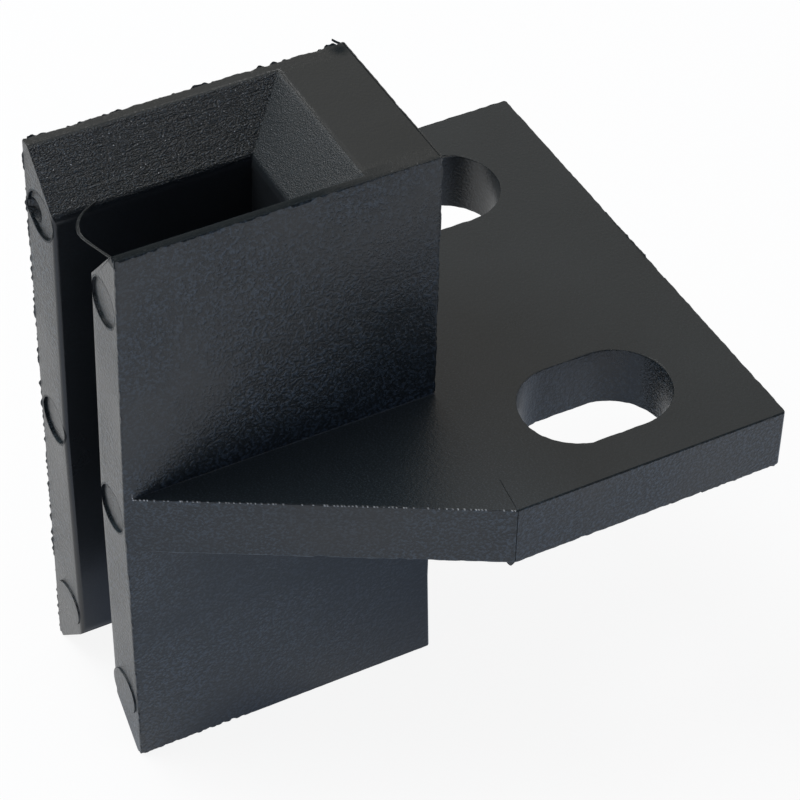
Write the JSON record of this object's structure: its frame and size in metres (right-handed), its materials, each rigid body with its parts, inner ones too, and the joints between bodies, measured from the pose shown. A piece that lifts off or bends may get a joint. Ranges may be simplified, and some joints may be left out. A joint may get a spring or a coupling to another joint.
{
  "type": "elevator guide shoe",
  "caption": "Moulded plastic lift guide shoe: a tall channel block with flared ends slides on a rail blade, and a shouldered plate with long bolt slots fixes it to the frame.",
  "frame": {"origin": "on the floor, under the middle of the whole outline, at the lower end of the channel block", "axes": "+Z runs along the rail, -Y is the open side of the groove that faces the rail, and +X crosses the two flanges"},
  "size_m": [0.0676, 0.0762, 0.08],
  "materials": {
    "black_plastic": "matte"
  },
  "bodies": {
    "root": {"guide_shoe": "black_plastic"}
  },
  "joints": []
}
